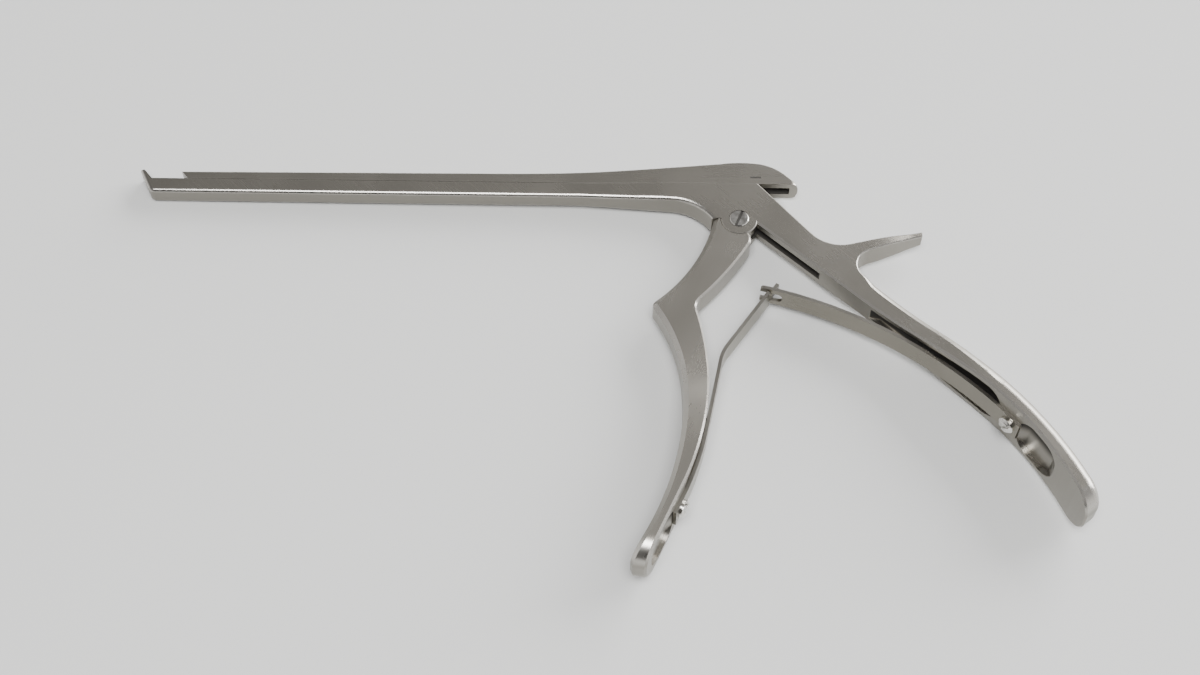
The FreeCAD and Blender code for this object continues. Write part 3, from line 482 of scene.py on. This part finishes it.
def place_camera():
    """Puts the camera where the photograph was taken."""
    camera = bpy.data.objects.new("camera", bpy.data.cameras.new("camera"))
    bpy.context.collection.objects.link(camera)
    camera.location = PIVOT + CAMERA_FROM_PIVOT
    camera.rotation_euler = (radians(CAMERA_TILT), 0, radians(CAMERA_TURN))
    camera.data.lens = LENS
    camera.data.sensor_width = SENSOR_WIDTH
    camera.data.clip_start = NEAREST_VIEW
    bpy.context.scene.camera = camera


def table_height(x, y):
    """The height of the leaning table under a place."""
    first, second, third = (Vector(point) * MM for point in REST_POINTS)
    normal = (second - first).cross(third - first)
    return first.z - (normal.x * (x - first.x) + normal.y * (y - first.y)) / normal.z


def make_table():
    """A pale, matt table under the instrument."""
    mesh = bmesh.new()
    bmesh.ops.create_grid(mesh, x_segments=1, y_segments=1, size=TABLE_HALF)
    for corner in mesh.verts:
        corner.co.z = table_height(corner.co.x, corner.co.y)
    data = bpy.data.meshes.new("table")
    mesh.to_mesh(data)
    mesh.free()
    table = bpy.data.objects.new("table", data)
    bpy.context.collection.objects.link(table)
    finish = Finish("table")
    finish.set("Base Color", TABLE_COLOUR)
    finish.set("Roughness", TABLE_ROUGHNESS)
    data.materials.append(finish.material)


def area_light(name, place, size, power):
    """A lamp that aims at the middle of the table."""
    light = bpy.data.lights.new(name, "AREA")
    light.shape = "RECTANGLE"
    light.size, light.size_y = size
    light.energy = power
    lamp = bpy.data.objects.new(name, light)
    bpy.context.collection.objects.link(lamp)
    lamp.location = place
    lamp.rotation_euler = (TABLE_MIDDLE - Vector(place)).to_track_quat("-Z", "Y").to_euler()


def light_room():
    """A pale room, dark only where the photographer stands, with its lamps."""
    world = bpy.data.worlds.new("room")
    bpy.context.scene.world = world
    world.use_nodes = True
    room = Nodes(world.node_tree)
    across, away, up = room.axes(room.node("ShaderNodeTexCoord", output="Generated"))
    walls = (1 - up).ramp(0.30, 0.9)
    glow = OVERHEAD_GLOW + walls * WALL_GLOW + across * SIDE_GLOW
    photographer = (-away).ramp(0.35, 0.85) * (1 - (across * across).ramp(0.15, 0.55))
    background = world.node_tree.nodes["Background"]
    room.feed(background.inputs["Color"], ROOM_COLOUR)
    room.feed(background.inputs["Strength"], glow * (1 - photographer * PHOTOGRAPHER_SHADE))
    for name, (place, size, power) in LAMPS.items():
        area_light(name, place, size, power)


# Springs


def bending_leaf(name, node, foot):
    """A leaf spring copied from its node and cut across many times from its stiff part to the
    crossing, put in the scene while the node is hidden.
    """
    foot, tip = (PIVOT + Vector(point).to_3d() * MM for point in (foot, SPRING_CROSSING))
    start = foot.lerp(tip, STIFF_SHARE)
    mesh = bmesh.new()
    mesh.from_mesh(frame["nodes"][node].data)
    bmesh.ops.remove_doubles(mesh, verts=mesh.verts, dist=WELD_DISTANCE)
    for number in range(1, LEAF_CUTS):
        everything = mesh.verts[:] + mesh.edges[:] + mesh.faces[:]
        place = start.lerp(tip, number / LEAF_CUTS)
        bmesh.ops.bisect_plane(
            mesh, geom=everything, plane_co=place, plane_no=tip - foot, dist=CUT_TOLERANCE
        )
    leaf = finished_piece(name, mesh)
    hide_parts(node)
    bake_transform(leaf)
    return leaf


def finished_piece(name, mesh):
    """Shades a mesh smoothly between its sharp edges and puts it in the scene."""
    for face in mesh.faces:
        face.smooth = True
    for edge in mesh.edges:
        edge.smooth = edge.is_manifold and edge.calc_face_angle() < radians(SHARP_ANGLE)
    data = bpy.data.meshes.new(name)
    mesh.to_mesh(data)
    mesh.free()
    piece = bpy.data.objects.new(name, data)
    bpy.context.collection.objects.link(piece)
    return piece


place_camera()
make_table()
light_room()

slider_steel = ground_steel("satin steel of the slider", 0.0, slider_marks_and_shade)
screws = screw_steel("screw steel")
leaf_steel = spring_steel()
finishes = {
    "frame": ground_steel("satin steel of the frame", -44.0, frame_marks_and_shade),
    "slider": slider_steel,
    "drive_pin": slider_steel,
    "front_lever": ground_steel("satin steel of the lever", 68.0, lever_shade, shade=1.2),
    "pivot_screw": screw_steel("pivot screw steel", SCREW_HEAD_TOP - DRIVER_SLOT_DEPTH),
}
for node, piece in frame["nodes"].items():
    wear(piece, finishes.get(node, screws))
for leaf in (
    bending_leaf("rear_leaf", "rear_spring", REAR_SPRING_FOOT),
    bending_leaf("front_leaf", "front_spring", FRONT_SPRING_FOOT),
):
    wear(leaf, leaf_steel)
